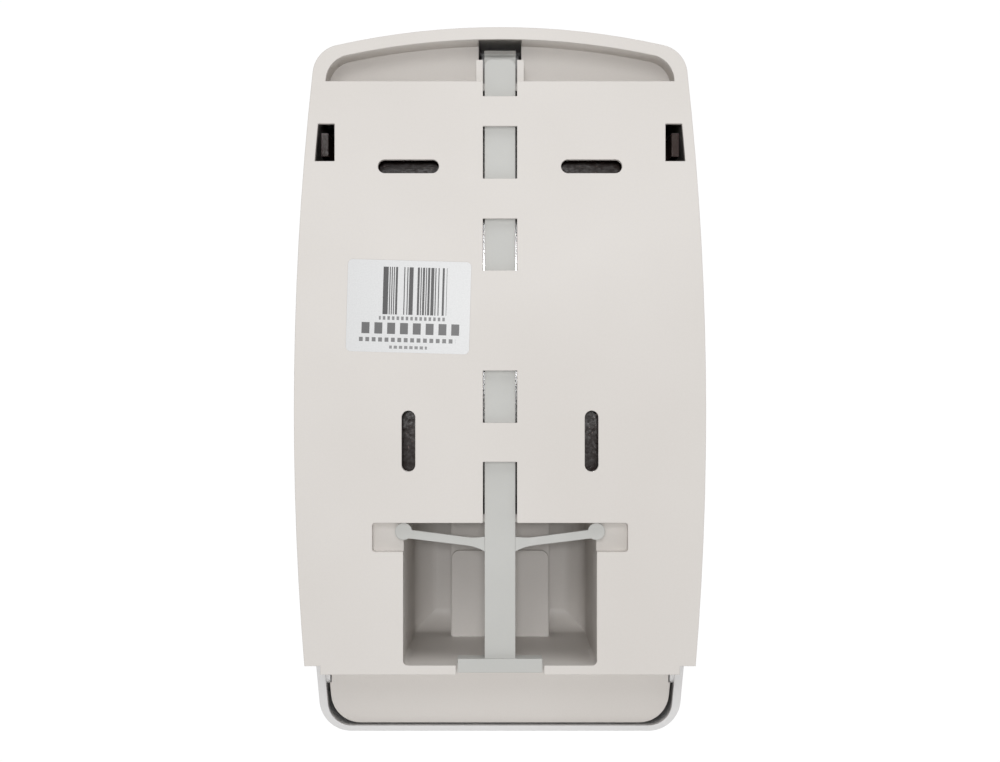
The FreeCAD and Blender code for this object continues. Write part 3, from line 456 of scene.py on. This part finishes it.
def drawArm(side, name):
    sizes = armSizes
    low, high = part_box("release_spring")
    stations = [tuple(mm * part for part in station) for station in sizes["stations"]]
    x, top, bottom = stations[0]
    middleY = (low.y + high.y) / 2
    centre = Vector((x, middleY, (top + bottom) / 2))
    clearSelection()
    bpy.ops.mesh.primitive_plane_add(size=1, location=centre, rotation=(0, math.pi / 2, 0))
    arm = bpy.context.object
    arm.scale = (top - bottom, high.y - low.y, 1)
    settle(arm, name)
    bpy.ops.object.mode_set(mode="EDIT")
    bpy.ops.mesh.select_all(action="SELECT")
    height = top - bottom
    for nextX, top, bottom in stations[1:]:
        place = Vector((nextX, middleY, (top + bottom) / 2))
        bpy.ops.mesh.extrude_region_move(TRANSFORM_OT_translate={"value": place - centre})
        bpy.ops.transform.resize(value=(1, 1, (top - bottom) / height), center_override=place)
        centre, height = place, top - bottom
    bpy.ops.mesh.select_all(action="SELECT")
    bpy.ops.mesh.normals_make_consistent(inside=False)
    bpy.ops.object.mode_set(mode="OBJECT")

    clearSelection()
    bpy.ops.mesh.primitive_cylinder_add(vertices=sizes["tipSides"], radius=sizes["tipR"] * mm,
                                        depth=high.y - low.y, rotation=quarter,
                                        location=(sizes["tipX"] * mm, middleY, sizes["tipZ"] * mm))
    tip = settle(bpy.context.object, "armTip")
    addModifier(arm, "BOOLEAN", {"operation": "UNION", "solver": "EXACT", "object": tip})
    bpy.data.objects.remove(tip)
    addModifier(arm, "BEVEL", {"width": sizes["edge"] * mm, "segments": sizes["edgeSegments"],
                               "limit_method": "ANGLE", "angle_limit": math.radians(sizes["edgeDegrees"])})
    clearSelection()
    arm.select_set(True)
    bpy.context.view_layer.objects.active = arm
    if side < 0:
        arm.scale = (-1, 1, 1)
        settle(arm, name)
        bpy.ops.object.mode_set(mode="EDIT")
        bpy.ops.mesh.select_all(action="SELECT")
        bpy.ops.mesh.normals_make_consistent(inside=False)
        bpy.ops.object.mode_set(mode="OBJECT")
    bpy.ops.object.shade_smooth_by_angle(angle=math.radians(sizes["smoothDegrees"]))
    dress(arm, "sliderGrey")
    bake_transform(arm)
    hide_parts("release_spring")


drawArm(1, "releaseArmLeft")
drawArm(-1, "releaseArmRight")
print("release arms drawn")


stageSizes = {"floorZ": -1.0, "floorSize": 7.6, "divisions": 8}      # a metre below, as under a wall


def layFloor():
    clearSelection()
    divisions = stageSizes["divisions"]
    bpy.ops.mesh.primitive_grid_add(x_subdivisions=divisions, y_subdivisions=divisions,
                                    size=stageSizes["floorSize"], location=(0, 0, stageSizes["floorZ"]))
    floor = settle(bpy.context.object, "paleFloor")
    floor.data.materials.append(plainStage())


layFloor()

lamps = {
    "keySoftbox": {"place": (0.12, 1.45, 0.50), "size": 0.5, "watts": 3.8},
    "axisLamp": {"place": (0.0, 1.50, 0.06), "size": 0.13, "watts": 5.3},
    "topSoftbox": {"place": (-0.15, 0.60, 1.20), "size": 0.9, "watts": 6.0},
    "frontSoftbox": {"place": (-0.70, -1.20, 0.80), "size": 1.2, "watts": 11.0},
    "frontFill": {"place": (1.05, -0.90, 0.10), "size": 0.9, "watts": 4.0},
}
aim = Vector((0, -0.05, -0.03))
room = {"light": 0.30, "tint": rgba(1.0, 0.995, 0.985), "seen": 1.02, "plain": rgba(1.0, 1.0, 1.0)}


def hangLamps():
    for name, lamp in lamps.items():
        data = bpy.data.lights.new(name, "AREA")
        data.shape = "DISK"
        data.size = lamp["size"]
        data.energy = lamp["watts"]
        holder = bpy.data.objects.new(name, data)
        holder.location = lamp["place"]
        holder.rotation_euler = (aim - holder.location).to_track_quat("-Z", "Y").to_euler()
        bpy.context.scene.collection.objects.link(holder)
    world = bpy.data.worlds.new("paleRoom")
    world.use_nodes = True
    back = world.node_tree.nodes["Background"]
    back.inputs["Color"].default_value = room["tint"]
    back.inputs["Strength"].default_value = room["light"]
    tree = NodeTree(world.node_tree)
    light = Link(tree, back.outputs[0])
    seen = tree.node("ShaderNodeBackground", {}, {"Color": room["plain"], "Strength": room["seen"]})
    fromCamera = tree.node("ShaderNodeLightPath", {}, {}, "Is Camera Ray")
    tree.end(tree.node("ShaderNodeMixShader", {}, {0: fromCamera, 1: light, 2: seen}), "World Output")
    bpy.context.scene.world = world
    bpy.context.scene.view_settings.view_transform = "Standard"


hangLamps()
print("lamps hung:", len(lamps))

cameraSizes = {"distance": 0.61, "height": -0.0253, "across": 0.3275, "sensor": 36.0}


def placeCamera():
    data = bpy.data.cameras.new("mainCamera")
    data.sensor_width = cameraSizes["sensor"]
    data.lens = cameraSizes["sensor"] * cameraSizes["distance"] / cameraSizes["across"]
    camera = bpy.data.objects.new("mainCamera", data)
    camera.location = (0, cameraSizes["distance"], cameraSizes["height"])
    camera.rotation_euler = (math.pi / 2, 0, math.pi)
    bpy.context.scene.collection.objects.link(camera)
    bpy.context.scene.camera = camera


placeCamera()
clearSelection()
